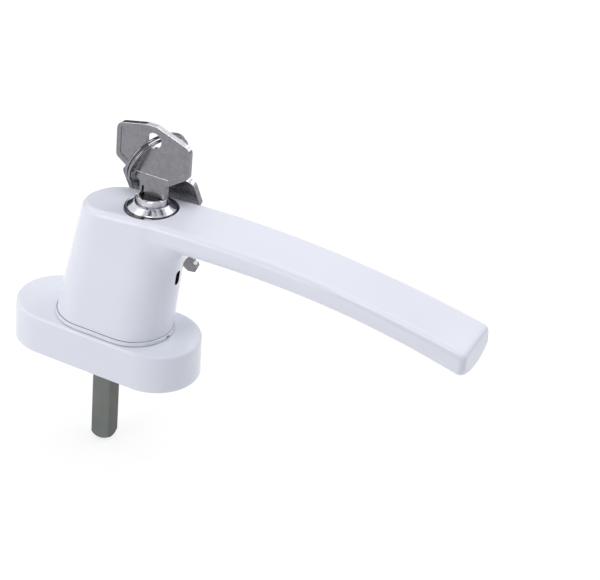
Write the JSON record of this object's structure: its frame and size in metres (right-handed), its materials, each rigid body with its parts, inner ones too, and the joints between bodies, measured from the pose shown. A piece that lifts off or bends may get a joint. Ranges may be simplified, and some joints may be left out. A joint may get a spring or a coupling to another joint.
{
  "type": "locking window handle",
  "caption": "Lockable window handle: bowed lever, oval neck, stadium rosette, square spindle, push-in lock with keys on a split ring",
  "frame": {"origin": "centre of the fixing screws on the rosette's sash face, on the spindle axis", "axes": "+Z out of the window sash along the spindle axis, +X along the lever toward its free end, +Y across"},
  "size_m": [0.1659, 0.044, 0.1279],
  "materials": {
    "white_coat": "gloss powder coat",
    "white_plastic": "gloss moulded",
    "grey_plastic": "matt moulded acetal",
    "cast_base": "die cast, as cast",
    "steel": "zinc-passivated steel",
    "chrome_trim": "polished chrome",
    "nickel_key": "nickel-plated, tumbled",
    "lock_brass": "turned brass",
    "lock_zinc": "zinc die casting, satin"
  },
  "bodies": {
    "base": {"rosette_cover": "white_plastic", "base_plate": "cast_base", "index_plate": "steel", "index_screws": "steel", "bearing_bush": "grey_plastic", "thrust_washer": "grey_plastic", "detent_springs": "steel"},
    "handle": {"handle_lever": "white_coat", "neck_ring": "white_plastic", "spindle": "steel", "roll_pin": "steel", "detent_cam": "grey_plastic", "retaining_ring": "steel", "lock_housing": "lock_zinc", "housing_pin": "steel", "lock_bezel": "chrome_trim", "return_spring": "steel"},
    "barrel": {"lock_barrel": "lock_zinc", "locking_pin": "steel"},
    "plug": {"lock_plug": "lock_brass", "plug_clip": "steel", "wafers": "lock_brass"},
    "latch_slide_body": {"latch": "steel"},
    "key_in_lock": {"key": "nickel_key"},
    "ring": {"key_ring": "chrome_trim"},
    "spare": {"spare_key": "nickel_key"}
  },
  "joints": [
    {"name": "handle_turn", "type": "hinge", "parent": "base", "child": "handle", "pos_m": [0, 0, 0], "axis": [0, 0, 1], "continuous": true, "deforming": ["detent_springs"]},
    {"name": "barrel_push", "type": "slide", "parent": "handle", "child": "barrel", "axis": [0, 0, -1], "range_m": [0, 0.0022], "stiffness_N_per_m": 600, "springref_m": -0.004, "deforming": ["return_spring"]},
    {"name": "key_turn", "type": "hinge", "parent": "barrel", "child": "plug", "pos_m": [0.0147, 0, 0.066], "axis": [0, 0, -1], "range_deg": [0, 60]},
    {"name": "latch_slide", "type": "slide", "parent": "barrel", "child": "latch_slide_body", "axis": [-1, 0, 0], "range_m": [0, 0.0012]},
    {"name": "key_withdraw", "type": "slide", "parent": "plug", "child": "key_in_lock", "axis": [0, 0, 1], "range_m": [0, 0.028]},
    {"name": "ring_swivel", "type": "hinge", "parent": "key_in_lock", "child": "ring", "pos_m": [0.0147, 0, 0.066], "axis": [0, 0, -1], "range_deg": [-60, 0]},
    {"name": "spare_swing", "type": "hinge", "parent": "ring", "child": "spare", "pos_m": [0.01133, 0.01071, 0.06702], "axis": [0.5143, 0.7709, 0.3758], "range_deg": [0, 60]}
  ],
  "couplings": [
    {"joint": "latch_slide", "follows": "key_turn", "m_per_rad": 0.0011459},
    {"joint": "ring_swivel", "follows": "key_turn", "ratio": -1}
  ]
}
